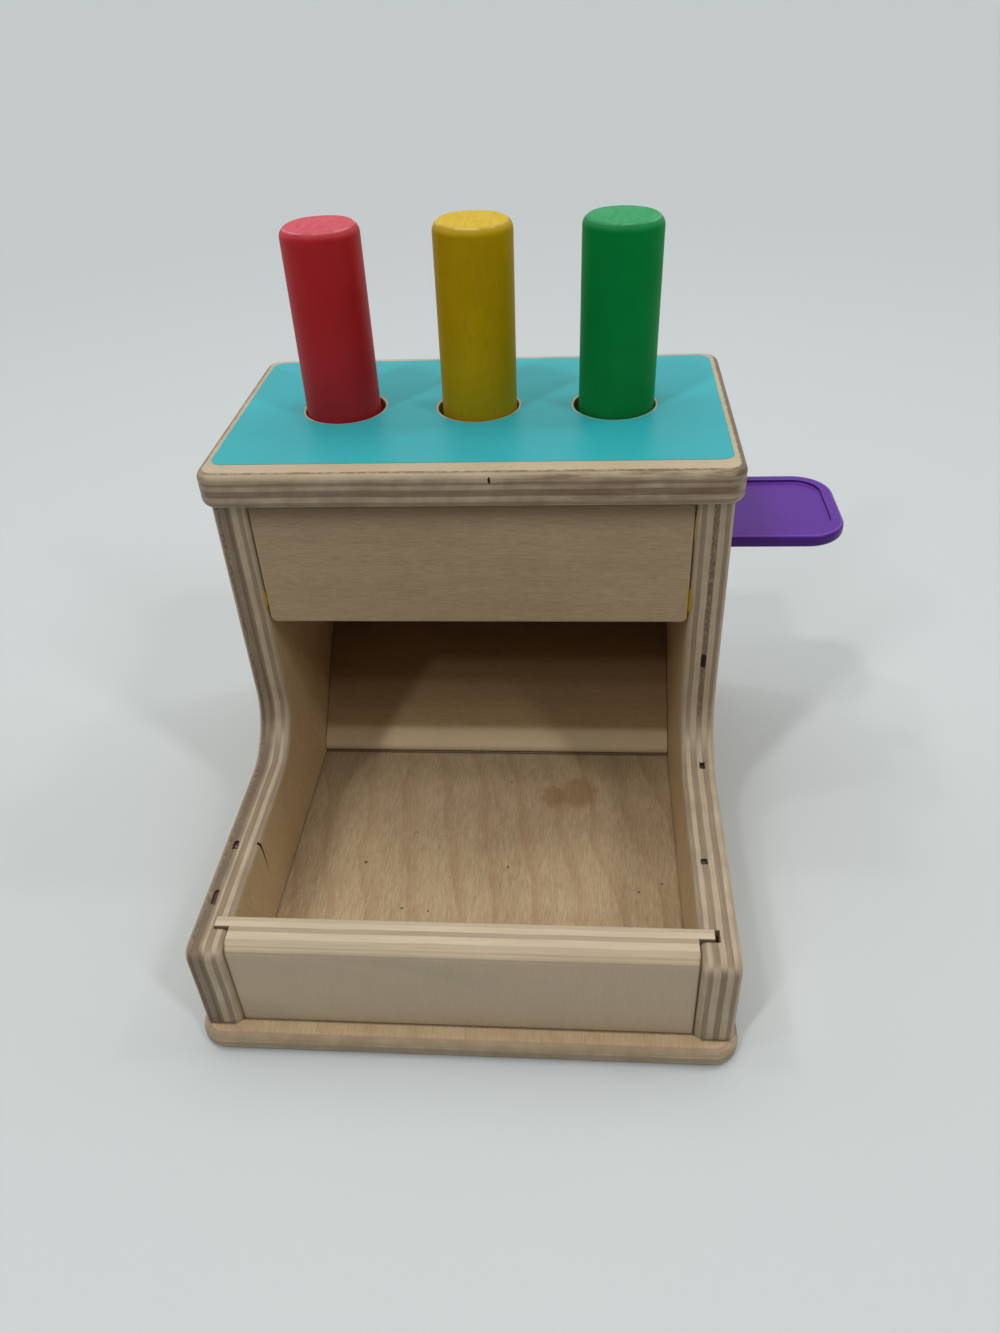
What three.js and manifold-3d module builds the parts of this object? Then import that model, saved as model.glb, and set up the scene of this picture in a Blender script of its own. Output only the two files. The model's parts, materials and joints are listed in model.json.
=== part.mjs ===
// Peg drop toy: three pegs stand in the deck of a plywood box, on a plastic gate that pulls out
// sideways. With the gate pulled, the pegs fall onto a ramp and slide into the open tray.
// Millimetres, +Z up. X runs across the toy, the tray faces -Y, and the origin is the centre of
// the base plate's underside.
import * as THREE from 'three';
import { mergeVertices } from 'three/addons/utils/BufferGeometryUtils.js';
import Module from 'manifold-3d';

const wasm = await Module();
wasm.setup();

// Plywood stock and joints
const PANEL = 11.6; // sides, deck, fascia and lip: 12 mm birch plywood after sanding
const BASE_THICK = 7;
const BACK_THICK = 6;
const RAMP_THICK = 6;
const GLUE_GAP = 0.2; // glue line between two pieces
const EDGE_ROUND = 2.4; // round on the exposed edges of the panels
const EASE = 0.8; // sanded arris on small boards

// Side panels
const BOX_WIDTH = 160; // over the outer faces
const TOWER_DEPTH = 91.2; // the tall part, front to back
const TRAY_REACH = 95.8; // the low part in front of it
const WALL_TOP = 40.4; // top of the tray walls, above the ground
const NECK_RADIUS = 19; // inner curve from the tower's front to the tray wall
const TOE_RADIUS = 4.5; // upper front corner of the tray wall

// Base plate
const BASE_OVERHANG = 1.6; // past the side panels, left, right and behind
const BASE_TOE = 4.9; // past the side panels in front
const BASE_CORNER = 8;
const BASE_ROUND = 2;

// Deck and its painted field
const DECK_TOP = 145;
const DECK_OVERHANG = 2.6; // past the side panels, all round
const DECK_CORNER = 4;
const DECK_ROUND = 1.2; // sharper than the side panels' edges
const PITCH_SHARE = 0.28; // pitch of the holes, as a share of the box's width
const HOLE_ROW = 50.4; // from the deck's front edge to the middle of the holes
const HOLE_EASE = 0.8; // round on the upper edge of each hole, left bare by the paint
const PAINT_FRONT = 7.4; // bare margins round the paint
const PAINT_SIDE = 3.3;
const PAINT_BACK = 3.8;
const PAINT_CORNER = 4.2;
const PAINT_THICK = 0.25;
const PAINT_GAP = 0.05;

// Boards between the side panels
const FASCIA_HEIGHT = 42.8;
const FASCIA_CORNER = 2;
const LIP_PROUD = 1; // above the tray walls
const LIP_SETBACK = 1.8; // behind the toes of the side panels
const LIP_ROUND = 4; // upper front edge
const TONGUE_THICK = 4; // tongue along the lip's inner face, let into the side panels
const TONGUE_REACH = 4.4;
const TONGUE_PLAY = 1.6; // empty end of the right panel's groove, past the tongue
const RAMP_FOOT = 29.1; // from the fascia's plane to the ramp's front edge
const RAMP_ANGLE = THREE.MathUtils.degToRad(40.5);
const RAMP_TOE = 3; // upright front edge of the ramp

// Gate and its runners
const GATE_DROP = 37.6; // from the deck's upper face to the gate's, where the pegs stand
const GATE_THICK = 4.5;
const GATE_BORDER = 7.9; // beside its holes
const GATE_ROUND = 1.5;
const GATE_CLEARANCE = 0.4; // running clearance all round
const TAB_REACH = 42.3; // past the right side panel, with the gate pushed in
const TAB_CORNER = 13;
const RIM_WIDTH = 4.2; // raised border of the tab's hollow
const PAN_DEPTH = 1;
const LUG_LENGTH = 6; // stop lugs on the gate's inner end
const LUG_REACH = 2;
const RUNNER_HEIGHT = 18;
const RUNNER_GRIP = 4; // how far the gate's edges reach into the runners

// Pegs
const PEG_DIAMETER = 24.5;
const PEG_LENGTH = 95.6;
const PEG_ROUND = 2.8;
const PEG_PLAY = 2.1; // a hole of the deck is wider than a peg by this
const PEG_TIP = 4.5; // a hole of the gate is wider by this, so that a falling peg can tip
const PEG_CLEARANCE = 0.35; // between a peg and the side of the hole that it leans to

// Hidden fasteners
const DOWEL_DIAMETER = 6;
const DOWEL_LENGTH = 20;
const DOWEL_IN_DECK = 7.5;
const DOWEL_INSET = 18; // from the tower's front and back edges
const SCREW_DIAMETER = 3.6;
const SCREW_LENGTH = 26;
const SCREW_HEAD = 7; // head diameter
const SCREW_HEAD_HEIGHT = 2.2;
const SCREW_SUNK = 0.5; // head below the base plate's underside
const SCREW_INSET = 16; // from the ends of the side panels and of the lip
const FASTENER_GAP = 0.2;

// Facets
const ARC_STEPS = 3; // half the steps of a rounded corner
const ROUND_STEPS = 3; // steps of a rounded edge
const HOLE_SIDES = 48;
const PEG_SIDES = 40;
const FASTENER_SIDES = 16;

// Places that follow from the sizes
const OUTER_X = BOX_WIDTH / 2;
const INNER_X = OUTER_X - PANEL;
const PANEL_X = OUTER_X - PANEL / 2; // middle of a side panel's thickness
const BOARD_WIDTH = 2 * (INNER_X - GLUE_GAP); // boards that fit between the side panels
const BASE_WIDTH = BOX_WIDTH + 2 * BASE_OVERHANG;
const BASE_DEPTH = BASE_TOE + TRAY_REACH + TOWER_DEPTH + BASE_OVERHANG;
const TOE_Y = BASE_TOE - BASE_DEPTH / 2;
const TOWER_Y = TOE_Y + TRAY_REACH; // plane of the fascia
const BACK_Y = TOWER_Y + TOWER_DEPTH;
const FLOOR_Z = BASE_THICK;
const DECK_BOTTOM = DECK_TOP - PANEL;
const DECK_WIDTH = BOX_WIDTH + 2 * DECK_OVERHANG;
const DECK_DEPTH = TOWER_DEPTH + 2 * DECK_OVERHANG;
const DECK_FRONT = TOWER_Y - DECK_OVERHANG;
const PANEL_BOTTOM = FLOOR_Z + GLUE_GAP;
const PANEL_TOP = DECK_BOTTOM - GLUE_GAP;
const LIP_Y = TOE_Y + LIP_SETBACK;
const BACK_FACE_Y = BACK_Y - BACK_THICK; // inner face of the back panel
const HOLE_DIAMETER = PEG_DIAMETER + PEG_PLAY;
const GATE_HOLE = PEG_DIAMETER + PEG_TIP;
const HOLE_PITCH = PITCH_SHARE * BOX_WIDTH;
const HOLE_XS = [-HOLE_PITCH, 0, HOLE_PITCH];
const ROW_Y = DECK_FRONT + HOLE_ROW;
const GATE_TOP = DECK_TOP - GATE_DROP;
const GATE_LEFT = GATE_CLEARANCE - INNER_X;
const GATE_RIGHT = OUTER_X + TAB_REACH;
const GATE_TRAVEL = HOLE_PITCH / 2;
const GATE_HALF = GATE_HOLE / 2 + GATE_BORDER; // half the gate's depth
const DOWEL_YS = [TOWER_Y + DOWEL_INSET, BACK_Y - DOWEL_INSET];
const SIDE_SCREW_YS = [TOE_Y + SCREW_INSET, (TOE_Y + BACK_Y) / 2, BACK_Y - SCREW_INSET];
const LIP_SCREW_X = INNER_X - 2 * SCREW_INSET;
const LIP_SCREW_Y = LIP_Y + PANEL / 2;

// Finishes
const BIRCH = { color: 0xd9bf98, roughness: 0.62 };
const BIRCH_SHADE = { color: 0xcfae82, roughness: 0.66 };
const TURQUOISE = { color: 0x43b2b4, roughness: 0.45 };
const PURPLE = { color: 0x5a21a8, roughness: 0.4 };
const BEECH = { color: 0xd6b185, roughness: 0.7 };
const STEEL = { color: 0xa8a9ab, roughness: 0.35, metalness: 1 };
const RED = { color: 0xc23a48, roughness: 0.5 };
const YELLOW = { color: 0xd9ae1c, roughness: 0.5 };
const GREEN = { color: 0x128c48, roughness: 0.5 };

// How each peg happens to stand in its loose hole: the side that it touches, as an angle from +X,
// and its lean to the right, both in degrees.
const PEGS = [
  { name: 'peg_red', x: HOLE_XS[0], touches: -130, lean: 0.1, finish: RED },
  { name: 'peg_yellow', x: HOLE_XS[1], touches: -42, lean: 0.9, finish: YELLOW },
  { name: 'peg_green', x: HOLE_XS[2], touches: -36, lean: 0.95, finish: GREEN },
];

// Turns a closed geometry into a solid that can be cut.
function solid(geometry) {
  const bare = geometry.clone();
  bare.deleteAttribute('normal');
  bare.deleteAttribute('uv');
  const merged = mergeVertices(bare, 1e-4);
  const vertProperties = new Float32Array(merged.attributes.position.array);
  const triVerts = new Uint32Array(merged.index.array);
  return new wasm.Manifold(new wasm.Mesh({ numProp: 3, vertProperties, triVerts }));
}

function cut(blank, ...tools) {
  return tools.reduce((left, tool) => left.subtract(solid(tool)), solid(blank));
}

function keepInside(blank, limits) {
  return solid(blank).intersect(solid(limits));
}

function mesh(name, body, finish) {
  const { vertProperties, triVerts } = body.getMesh();
  const geometry = new THREE.BufferGeometry();
  geometry.setAttribute('position', new THREE.BufferAttribute(vertProperties, 3));
  geometry.setIndex(new THREE.BufferAttribute(triVerts, 1));
  geometry.computeVertexNormals();
  const piece = new THREE.Mesh(geometry, new THREE.MeshStandardMaterial(finish));
  piece.name = name;
  return piece;
}

// Outline through corners [x, y, radius], in order. A corner without a radius stays sharp.
function outline(corners) {
  const shape = new THREE.Shape();
  const points = corners.map(([x, y]) => new THREE.Vector2(x, y));
  corners.forEach(([x, y, radius = 0], i) => {
    const before = points.at(i - 1);
    const after = points[(i + 1) % points.length];
    const toBefore = before.clone().sub(points[i]).normalize();
    const toAfter = after.clone().sub(points[i]).normalize();
    if (radius === 0) {
      if (i === 0) shape.moveTo(x, y);
      else shape.lineTo(x, y);
      return;
    }
    const half = Math.acos(toBefore.dot(toAfter)) / 2;
    const run = radius / Math.tan(half);
    const middle = toBefore.clone().add(toAfter).setLength(radius / Math.sin(half)).add(points[i]);
    const start = toBefore.clone().multiplyScalar(run).add(points[i]).sub(middle).angle();
    const end = toAfter.clone().multiplyScalar(run).add(points[i]).sub(middle).angle();
    shape.absarc(middle.x, middle.y, radius, start, end, toBefore.cross(toAfter) > 0);
  });
  return shape;
}

function rectangle(x0, y0, x1, y1, radius = 0) {
  return outline([[x0, y0, radius], [x1, y0, radius], [x1, y1, radius], [x0, y1, radius]]);
}

// Plate lying on z0, with its rim rounded above and below, as far as its thickness allows.
function plate(shape, z0, thickness, round) {
  const rim = Math.min(round, 0.45 * thickness);
  return new THREE.ExtrudeGeometry(shape, {
    depth: thickness - 2 * rim,
    curveSegments: ARC_STEPS,
    bevelThickness: rim,
    bevelSize: rim,
    bevelOffset: -rim,
    bevelSegments: ROUND_STEPS,
  }).translate(0, 0, z0 + rim);
}

// Stands a plate's outline up in the YZ plane, so that its thickness runs along X.
function standAcross(geometry) {
  const toWorld = new THREE.Matrix4().makeBasis(
    new THREE.Vector3(0, 1, 0),
    new THREE.Vector3(0, 0, 1),
    new THREE.Vector3(1, 0, 0),
  );
  return geometry.applyMatrix4(toWorld);
}

// Bar of a YZ section, from x0 to x1.
function bar(section, x0, x1) {
  const settings = { depth: x1 - x0, bevelEnabled: false, curveSegments: ARC_STEPS };
  return standAcross(new THREE.ExtrudeGeometry(section, settings)).translate(x0, 0, 0);
}

function box(x0, x1, y0, y1, z0, z1) {
  const block = new THREE.BoxGeometry(x1 - x0, y1 - y0, z1 - z0);
  return block.translate((x0 + x1) / 2, (y0 + y1) / 2, (z0 + z1) / 2);
}

function drill(diameter, x, y, z0, z1, sides = FASTENER_SIDES) {
  const rod = new THREE.CylinderGeometry(diameter / 2, diameter / 2, z1 - z0, sides);
  return rod.rotateX(Math.PI / 2).translate(x, y, (z0 + z1) / 2);
}

// Solid of revolution about Z, from [radius, z] points that rise from axis to axis.
function turned(points, sides) {
  const profile = points.map(([radius, z]) => new THREE.Vector2(radius, z));
  return new THREE.LatheGeometry(profile, sides).rotateX(Math.PI / 2);
}

// Quarter round of [radius, z] points about a centre, between two angles in degrees.
function quarter(radius, z, round, from, to) {
  return Array.from({ length: ROUND_STEPS + 1 }, (_, i) => {
    const angle = THREE.MathUtils.degToRad(from + ((to - from) * i) / ROUND_STEPS);
    return [radius + round * Math.cos(angle), z + round * Math.sin(angle)];
  });
}

// Countersunk wood screw, point up. grow fattens it into the hole that it needs.
function screw(x, y, grow = 0) {
  const head = SCREW_HEAD / 2 + grow;
  const shank = SCREW_DIAMETER / 2 + grow;
  const under = grow > 0 ? -1 : SCREW_SUNK;
  const neck = SCREW_SUNK + SCREW_HEAD_HEIGHT;
  const tip = SCREW_SUNK + SCREW_LENGTH + grow;
  const points = [[0, under], [head, under]];
  if (grow > 0) points.push([head, SCREW_SUNK + grow]);
  points.push([shank, neck + grow], [shank, tip - SCREW_DIAMETER], [0, tip]);
  return turned(points, FASTENER_SIDES).translate(x, y, 0);
}

const SCREWS = [
  ...[-PANEL_X, PANEL_X].flatMap((x) => SIDE_SCREW_YS.map((y) => [x, y])),
  ...[-LIP_SCREW_X, LIP_SCREW_X].map((x) => [x, LIP_SCREW_Y]),
];
const DOWELS = [-PANEL_X, PANEL_X].flatMap((x) => DOWEL_YS.map((y) => [x, y]));
const DOWEL_TOP = DECK_BOTTOM + DOWEL_IN_DECK;

function screwHoles() {
  return SCREWS.map(([x, y]) => screw(x, y, FASTENER_GAP));
}

function dowelHoles() {
  const bottom = DOWEL_TOP - DOWEL_LENGTH;
  return DOWELS.map(([x, y]) =>
    drill(DOWEL_DIAMETER + 2 * FASTENER_GAP, x, y, bottom - FASTENER_GAP, DOWEL_TOP + FASTENER_GAP));
}

// The gate's room between the runners and through the right side panel.
function gatePassage(x0, x1, reach) {
  const low = GATE_TOP - GATE_THICK - GATE_CLEARANCE;
  const front = ROW_Y - reach - GATE_CLEARANCE;
  const rear = ROW_Y + reach + GATE_CLEARANCE;
  return box(x0, x1, front, rear, low, GATE_TOP + GATE_CLEARANCE);
}

function basePlate() {
  const halfX = BASE_WIDTH / 2;
  const halfY = BASE_DEPTH / 2;
  const sheet = rectangle(-halfX, -halfY, halfX, halfY, BASE_CORNER);
  return mesh('base_plate', cut(plate(sheet, 0, BASE_THICK, BASE_ROUND), ...screwHoles()), BIRCH_SHADE);
}

// Side panel: a tall tower that sweeps down to the tray wall. Its exposed edges are rounded, and
// it is square where it meets the base plate and the deck.
function sidePanel(name, side) {
  const cutOff = EDGE_ROUND; // trimmed away below and above, to leave square ends
  const profile = outline([
    [TOE_Y, PANEL_BOTTOM - cutOff],
    [BACK_Y, PANEL_BOTTOM - cutOff],
    [BACK_Y, PANEL_TOP + cutOff],
    [TOWER_Y, PANEL_TOP + cutOff],
    [TOWER_Y, WALL_TOP, NECK_RADIUS],
    [TOE_Y, WALL_TOP, TOE_RADIUS],
  ]);
  const inner = side * INNER_X;
  const outer = side * OUTER_X;
  const low = Math.min(inner, outer);
  const blank = standAcross(plate(profile, 0, PANEL, EDGE_ROUND)).translate(low, 0, 0);
  const trimmed = box(low, low + PANEL, TOE_Y, BACK_Y, PANEL_BOTTOM, PANEL_TOP);
  const groove = INNER_X + TONGUE_REACH + (side > 0 ? TONGUE_PLAY : GLUE_GAP);
  const tongueBack = LIP_Y + PANEL + GLUE_GAP;
  const tongueFront = LIP_Y + PANEL - TONGUE_THICK - GLUE_GAP;
  const grooveCut = side > 0
    ? box(0, groove, tongueFront, tongueBack, 0, DECK_TOP)
    : box(-groove, 0, tongueFront, tongueBack, 0, DECK_TOP);
  let body = keepInside(blank, trimmed);
  for (const tool of [grooveCut, ...screwHoles(), ...dowelHoles()]) body = body.subtract(solid(tool));
  if (side > 0) body = body.subtract(solid(gatePassage(0, 2 * OUTER_X, GATE_HALF)));
  return mesh(name, body, BIRCH);
}

function topDeck() {
  const half = DECK_WIDTH / 2;
  const sheet = rectangle(-half, DECK_FRONT, half, DECK_FRONT + DECK_DEPTH, DECK_CORNER);
  const blank = plate(sheet, DECK_BOTTOM, PANEL, DECK_ROUND);
  const brim = HOLE_DIAMETER / 2 + HOLE_EASE;
  const bore = [
    [0, DECK_BOTTOM - 1],
    [HOLE_DIAMETER / 2, DECK_BOTTOM - 1],
    ...quarter(brim, DECK_TOP - HOLE_EASE, HOLE_EASE, 180, 90),
    [brim, DECK_TOP + 1],
    [0, DECK_TOP + 1],
  ];
  const holes = HOLE_XS.map((x) => turned(bore, HOLE_SIDES).translate(x, ROW_Y, 0));
  return mesh('top_deck', cut(blank, ...holes, ...dowelHoles()), BIRCH);
}

// Painted field: a thin coat on the deck, open round each hole.
function deckPaint() {
  const half = DECK_WIDTH / 2 - PAINT_SIDE;
  const rear = DECK_FRONT + DECK_DEPTH - PAINT_BACK;
  const field = rectangle(-half, DECK_FRONT + PAINT_FRONT, half, rear, PAINT_CORNER);
  const coat = new THREE.ExtrudeGeometry(field, {
    depth: PAINT_THICK,
    bevelEnabled: false,
    curveSegments: ARC_STEPS,
  }).translate(0, 0, DECK_TOP + PAINT_GAP);
  const openings = HOLE_XS.map((x) =>
    drill(HOLE_DIAMETER + 2 * HOLE_EASE, x, ROW_Y, DECK_TOP - 1, DECK_TOP + 1, HOLE_SIDES));
  return mesh('deck_paint', cut(coat, ...openings), TURQUOISE);
}

// Upright board between the side panels, with its front face at y.
function uprightBoard(name, y, thickness, low, high, corner, finish) {
  const half = BOARD_WIDTH / 2;
  const face = outline([[-half, low, corner], [half, low, corner], [half, high], [-half, high]]);
  const board = plate(face, 0, thickness, EASE).rotateX(Math.PI / 2).translate(0, y + thickness, 0);
  return mesh(name, solid(board), finish);
}

function fascia() {
  return uprightBoard('fascia', TOWER_Y, PANEL, PANEL_TOP - FASCIA_HEIGHT, PANEL_TOP, FASCIA_CORNER, BIRCH);
}

function backPanel() {
  return uprightBoard('back_panel', BACK_FACE_Y, BACK_THICK, PANEL_BOTTOM, PANEL_TOP, 0, BIRCH_SHADE);
}

// Tray lip: its inner face carries a tongue past both ends, into the grooves of the side panels.
function trayLip() {
  const rear = LIP_Y + PANEL;
  const top = WALL_TOP + LIP_PROUD;
  const section = outline([
    [LIP_Y, PANEL_BOTTOM],
    [rear, PANEL_BOTTOM],
    [rear, top, EASE],
    [LIP_Y, top, LIP_ROUND],
  ]);
  const end = INNER_X + TONGUE_REACH;
  const shoulder = BOARD_WIDTH / 2;
  const rebate = (x0, x1) => box(x0, x1, LIP_Y - 1, rear - TONGUE_THICK, 0, top + 1);
  const rebates = [rebate(-end - 1, -shoulder), rebate(shoulder, end + 1)];
  return mesh('tray_lip', cut(bar(section, -end, end), ...rebates, ...screwHoles()), BIRCH);
}

// Ramp: a sloped board, cut level where it rests on the base plate and plumb at both edges.
function rampBoard() {
  const slope = Math.tan(RAMP_ANGLE);
  const toe = TOWER_Y + RAMP_FOOT;
  const rear = BACK_FACE_Y - GLUE_GAP;
  const high = PANEL_BOTTOM + RAMP_TOE + (rear - toe) * slope;
  const under = high - RAMP_THICK / Math.cos(RAMP_ANGLE);
  const section = outline([
    [toe, PANEL_BOTTOM],
    [rear - (under - PANEL_BOTTOM) / slope, PANEL_BOTTOM],
    [rear, under],
    [rear, high, EASE],
    [toe, PANEL_BOTTOM + RAMP_TOE, EASE],
  ]);
  return mesh('ramp_board', solid(bar(section, -BOARD_WIDTH / 2, BOARD_WIDTH / 2)), BIRCH_SHADE);
}

// Runner: a batten with a groove for the gate's edge. The groove is deeper where the stop lug
// travels, and the end of that pocket stops the gate.
function runner(name, y0, y1) {
  const middle = GATE_TOP - GATE_THICK / 2;
  const low = middle - RUNNER_HEIGHT / 2;
  const section = rectangle(y0, low, y1, low + RUNNER_HEIGHT, EASE);
  const end = BOARD_WIDTH / 2;
  const pocketEnd = GATE_LEFT + LUG_LENGTH + GATE_TRAVEL + GATE_CLEARANCE;
  const groove = gatePassage(-end - 1, end + 1, GATE_HALF);
  const pocket = gatePassage(-end - 1, pocketEnd, GATE_HALF + LUG_REACH);
  return mesh(name, cut(bar(section, -end, end), groove, pocket), BEECH);
}

// Gate: a plate with two holes and an open fork, which come under the pegs when it is pulled by
// half a hole pitch. Its outer end is the finger tab, hollowed inside a raised rim. The hollow
// runs on into the panel's slot.
function gate() {
  const lugHalf = GATE_HALF + LUG_REACH;
  const lugEnd = GATE_LEFT + LUG_LENGTH;
  const face = outline([
    [GATE_LEFT, ROW_Y - lugHalf],
    [lugEnd, ROW_Y - lugHalf],
    [lugEnd, ROW_Y - GATE_HALF],
    [GATE_RIGHT, ROW_Y - GATE_HALF, TAB_CORNER],
    [GATE_RIGHT, ROW_Y + GATE_HALF, TAB_CORNER],
    [lugEnd, ROW_Y + GATE_HALF],
    [lugEnd, ROW_Y + lugHalf],
    [GATE_LEFT, ROW_Y + lugHalf],
  ]);
  const low = GATE_TOP - GATE_THICK;
  const pan = rectangle(
    INNER_X,
    ROW_Y - GATE_HALF + RIM_WIDTH,
    GATE_RIGHT - RIM_WIDTH,
    ROW_Y + GATE_HALF - RIM_WIDTH,
    TAB_CORNER - RIM_WIDTH,
  );
  const hollow = plate(pan, GATE_TOP - PAN_DEPTH, 2 * PAN_DEPTH, PAN_DEPTH / 2);
  const holes = HOLE_XS.map((x) =>
    drill(GATE_HOLE, x - GATE_TRAVEL, ROW_Y, low - 1, GATE_TOP + 1, HOLE_SIDES));
  const forkX = HOLE_XS[0] - GATE_TRAVEL;
  const fork = box(
    Math.min(GATE_LEFT, forkX) - 1,
    forkX,
    ROW_Y - GATE_HOLE / 2,
    ROW_Y + GATE_HOLE / 2,
    low - 1,
    GATE_TOP + 1,
  );
  return mesh('gate', cut(plate(face, low, GATE_THICK, GATE_ROUND), hollow, ...holes, fork), PURPLE);
}

// Pegs stand on the gate, each touching one side of its loose hole.
function peg({ name, x, touches, lean, finish }) {
  const radius = PEG_DIAMETER / 2;
  const core = radius - PEG_ROUND;
  const profile = [
    [0, 0],
    ...quarter(core, PEG_ROUND, PEG_ROUND, -90, 0),
    ...quarter(core, PEG_LENGTH - PEG_ROUND, PEG_ROUND, 0, 90),
    [0, PEG_LENGTH],
  ];
  const tilt = THREE.MathUtils.degToRad(lean);
  const side = THREE.MathUtils.degToRad(touches);
  const reach = PEG_PLAY / 2 - PEG_CLEARANCE; // from the middle of the hole
  const foot = GATE_DROP * Math.tan(tilt); // the foot stands this far left of the deck's hole
  const seat = GATE_TOP + GLUE_GAP + core * Math.sin(Math.abs(tilt)); // clear of the foot's low edge
  const body = turned(profile, PEG_SIDES).rotateY(tilt);
  body.translate(x + reach * Math.cos(side) - foot, ROW_Y + reach * Math.sin(side), seat);
  return mesh(name, solid(body), finish);
}

function deckDowel([x, y], i) {
  const rod = drill(DOWEL_DIAMETER, x, y, DOWEL_TOP - DOWEL_LENGTH, DOWEL_TOP);
  return mesh(`deck_dowel_${i + 1}`, solid(rod), BEECH);
}

function baseScrew([x, y], i) {
  return mesh(`base_screw_${i + 1}`, solid(screw(x, y)), STEEL);
}

const toy = new THREE.Group();
toy.add(
  basePlate(),
  sidePanel('left_side_panel', -1),
  sidePanel('right_side_panel', 1),
  topDeck(),
  deckPaint(),
  fascia(),
  backPanel(),
  trayLip(),
  rampBoard(),
  runner('front_runner', TOWER_Y + PANEL + GLUE_GAP, ROW_Y - GATE_HALF + RUNNER_GRIP),
  runner('rear_runner', ROW_Y + GATE_HALF - RUNNER_GRIP, BACK_FACE_Y - GLUE_GAP),
  gate(),
  ...PEGS.map(peg),
  ...DOWELS.map(deckDowel),
  ...SCREWS.map(baseScrew),
);

export default toy;
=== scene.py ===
"""Looks of the peg drop toy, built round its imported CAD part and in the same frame.

Shapes are modelled in millimetres and scaled to metres as they become objects. Materials read
Object coordinates, which they also take in millimetres.
"""
import json
import math

import bmesh
import bpy
from mathutils import Matrix, Vector, noise


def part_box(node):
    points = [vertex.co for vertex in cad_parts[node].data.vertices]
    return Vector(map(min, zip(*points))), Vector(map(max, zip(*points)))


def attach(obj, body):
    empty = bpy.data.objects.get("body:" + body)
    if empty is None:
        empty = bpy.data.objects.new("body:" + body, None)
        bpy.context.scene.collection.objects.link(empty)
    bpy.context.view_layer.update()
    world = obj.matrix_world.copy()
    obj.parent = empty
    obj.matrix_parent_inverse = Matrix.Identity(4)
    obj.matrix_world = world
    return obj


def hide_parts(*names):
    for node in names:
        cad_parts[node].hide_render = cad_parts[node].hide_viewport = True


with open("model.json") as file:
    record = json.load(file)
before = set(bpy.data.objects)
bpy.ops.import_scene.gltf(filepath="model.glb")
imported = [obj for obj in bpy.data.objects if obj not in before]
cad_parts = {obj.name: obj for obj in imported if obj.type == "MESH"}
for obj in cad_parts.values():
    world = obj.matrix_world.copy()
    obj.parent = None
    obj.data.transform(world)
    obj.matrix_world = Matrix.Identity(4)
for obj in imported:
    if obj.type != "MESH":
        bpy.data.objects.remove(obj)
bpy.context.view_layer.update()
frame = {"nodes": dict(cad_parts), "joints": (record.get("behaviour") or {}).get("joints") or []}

MM = 0.001
X, Y, Z = Vector((1, 0, 0)), Vector((0, 1, 0)), Vector((0, 0, 1))

# Sizes in millimetres that the boxes of the CAD nodes don't give
PANEL = 11.6
PANEL_ROUND = 2.4
ARRIS = 0.8
FINE_ARRIS = 0.25
WALL_TOP = 40.4
NECK_RADIUS = 19
TOE_RADIUS = 4.5
BASE_CORNER, BASE_ROUND = 8, 2.8
DECK_CORNER, DECK_ROUND = 6, 2.4
PAINT_CORNER = 4.2
FASCIA_CORNER = 2
LIP_ROUND = 4
TONGUE_THICK, TONGUE_PLAY = 4, 1.6
GLUE_GAP = 0.2
RAMP_ANGLE = math.radians(40.5)
RAMP_THICK, RAMP_TOE = 6, 3
HOLE_PITCH, HOLE_DIAMETER, HOLE_EASE = 44.8, 26.6, 0.45
BARE_RING = 0.35
PAINT_FILM = 0.06
GATE_HOLE = 29
GATE_ROUND, GATE_CLEARANCE = 1.5, 0.4
TAB_CORNER, TAB_RIM, PAN_DEPTH, PAN_ROUND = 13, 4.2, 1, 0.6
LUG_LENGTH, LUG_REACH = 6, 2
PEG_DIAMETER, PEG_LENGTH = 24.5, 95.6
PEG_EASE, PEG_BREAK = 1.9, math.radians(25)
PEG_SANDED_END, PEG_WAVER = 3, 0.03
DOWEL_SOCKET = 6.4
SCREW_SOCKET, SCREW_HEAD_SOCKET = 4, 7.4
SCREW_NECK, SCREW_POINT = 2.4, 3.6
PAINT_WAVER = 0.16
OVERCUT = 1

# Distances in millimetres within which an edge is level and points are one
LEVEL, WELD = 1e-6, 1e-4

# Steps of the curves
CORNER_STEPS = 12
RIM_STEPS = 6
EASE_STEPS = 6
ROUND_SIDES = 96
DOWEL_SIDES = 24
PAINT_EDGE_CUTS = 60

# Edges sharper than these angles break the smooth shading or get an arris
CREASE = math.radians(38)
ARRIS_ANGLE = math.radians(55)

DOWELS = [f"deck_dowel_{i}" for i in range(1, 5)]
SCREWS = [f"base_screw_{i}" for i in range(1, 9)]


def span(node):
    """Lowest and highest corner of a CAD node, in millimetres."""
    low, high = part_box(node)
    return low / MM, high / MM


base_low, base_high = span("base_plate")
left_low, left_high = span("left_side_panel")
right_low, right_high = span("right_side_panel")
deck_low, deck_high = span("top_deck")
fascia_low, fascia_high = span("fascia")
lip_low, lip_high = span("tray_lip")
back_low, back_high = span("back_panel")
ramp_low, ramp_high = span("ramp_board")
gate_low, gate_high = span("gate")
paint_low, paint_high = span("deck_paint")
TOWER_Y = fascia_low.y
SHOULDER = fascia_high.x
ROW_Y = (gate_low.y + gate_high.y) / 2
GATE_HALF = (gate_high.y - gate_low.y) / 2 - LUG_REACH
HOLE_XS = (-HOLE_PITCH, 0, HOLE_PITCH)


# Shapes

def bevel(bm, geom, size, steps, affect="EDGES"):
    bmesh.ops.bevel(
        bm, geom=geom, offset=size, offset_type="OFFSET", segments=steps, profile=0.5,
        affect=affect, loop_slide=True, material=-1,
    )


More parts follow.
